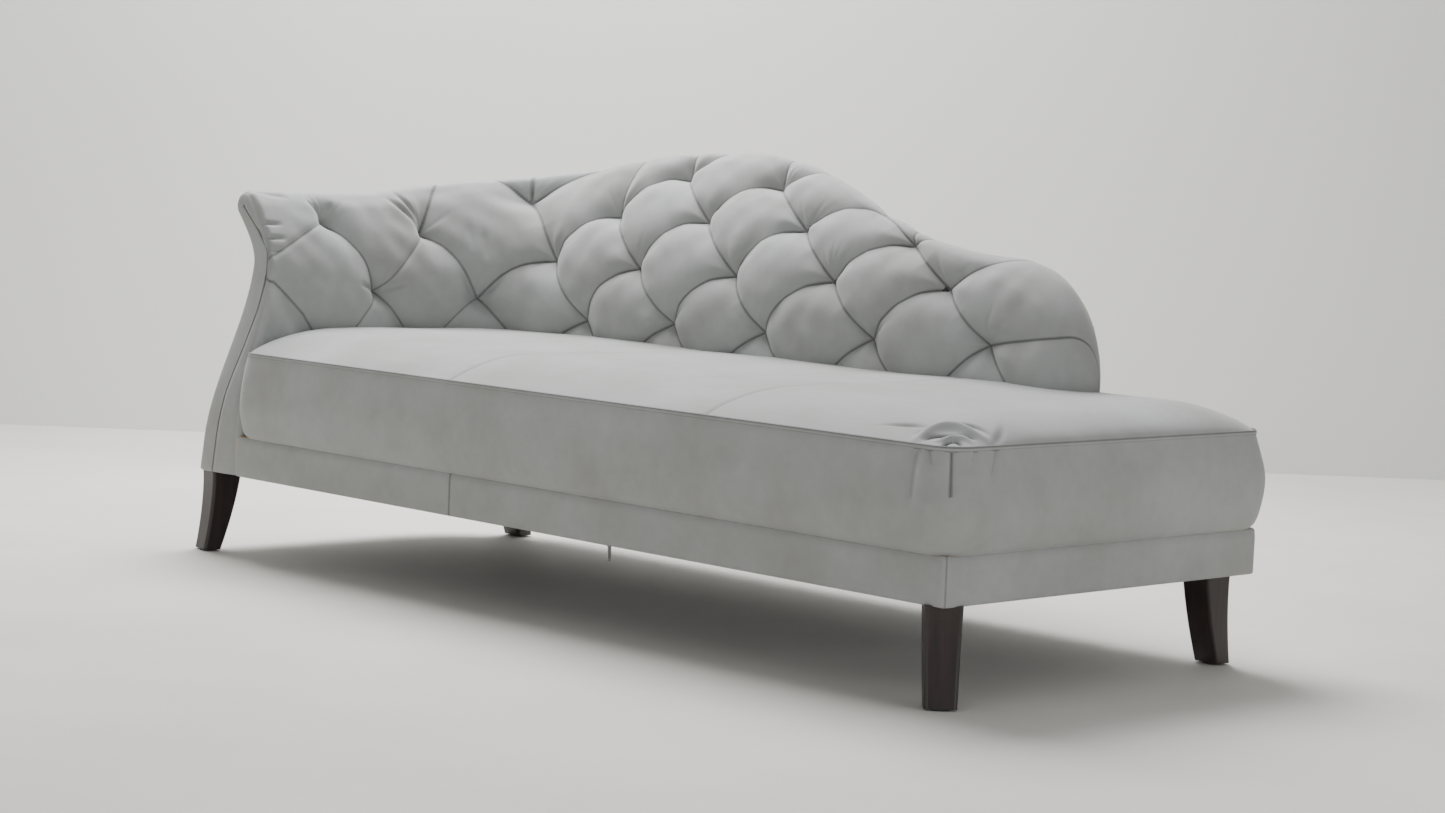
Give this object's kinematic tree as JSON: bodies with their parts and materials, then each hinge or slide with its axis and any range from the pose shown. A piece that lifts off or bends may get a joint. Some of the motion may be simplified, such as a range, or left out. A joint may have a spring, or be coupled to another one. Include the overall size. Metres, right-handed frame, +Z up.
{
  "type": "daybed",
  "caption": "Long padded daybed with a flared deep-tufted arm at the head end that turns into a wave-topped tufted back, on swept dark wooden legs.",
  "frame": {"origin": "middle of the footprint, on the floor", "axes": "+X towards the foot end, +Y towards the back, +Z up"},
  "size_m": [2.0306, 0.878, 0.8288],
  "materials": {
    "frame_timber": "sawn",
    "plywood": "sawn",
    "steel": "satin",
    "elastic": "woven",
    "jute": "woven",
    "foam": "matt",
    "wadding": "matt",
    "cover_fabric": "brushed",
    "black_cloth": "matt",
    "black_plastic": "matt",
    "leg_wood": "satin"
  },
  "bodies": {
    "daybed": {"front_rail": "frame_timber", "rear_rail": "frame_timber", "head_rail": "frame_timber", "foot_rail": "frame_timber", "corner_rail": "frame_timber", "cross_rails": "frame_timber", "spring_rail": "frame_timber", "leg_blocks": "frame_timber", "block_screws": "steel", "elastic_bands": "elastic", "band_staples": "steel", "seat_hessian": "jute", "seat_foam": "foam", "seat_wadding": "wadding", "seat_cover_head": "cover_fabric", "seat_cover_middle": "cover_fabric", "seat_cover_foot": "cover_fabric", "seat_welt": "cover_fabric", "base_cover_head": "cover_fabric", "base_cover_foot": "cover_fabric", "arm_ribs": "plywood", "corner_rib": "plywood", "back_ribs": "plywood", "rib_screws": "steel", "arm_spacers": "frame_timber", "back_spacers": "frame_timber", "arm_top_rail": "plywood", "back_top_rail": "plywood", "arm_hessian": "jute", "back_hessian": "jute", "arm_foam": "foam", "back_foam": "foam", "inside_arm_cover": "cover_fabric", "inside_back_cover": "cover_fabric", "outside_arm_cover": "cover_fabric", "outside_back_cover": "cover_fabric", "arm_facing": "cover_fabric", "back_end_cover": "cover_fabric", "tuft_toggles": "black_plastic", "dust_cover": "black_cloth", "zip_tapes": "black_cloth", "zip_coils": "black_plastic", "zip_stops": "steel", "front_left_leg": "leg_wood", "front_right_leg": "leg_wood", "rear_left_leg": "leg_wood", "rear_right_leg": "leg_wood", "hanger_bolts": "steel", "tee_nuts": "steel", "leg_glides": "black_plastic", "glide_nails": "steel"},
    "zip_slider": {"zip_slider": "steel"},
    "zip_pull": {"zip_pull": "steel"}
  },
  "joints": [
    {"name": "zip_slide", "type": "slide", "parent": "daybed", "child": "zip_slider", "axis": [1, 0, 0], "range_m": [-0.44, 0.44]},
    {"name": "pull_swing", "type": "hinge", "parent": "zip_slider", "child": "zip_pull", "pos_m": [0.18289, -0.38186, 0.1509], "axis": [0, 1, 0], "range_deg": [-80, 80]}
  ]
}
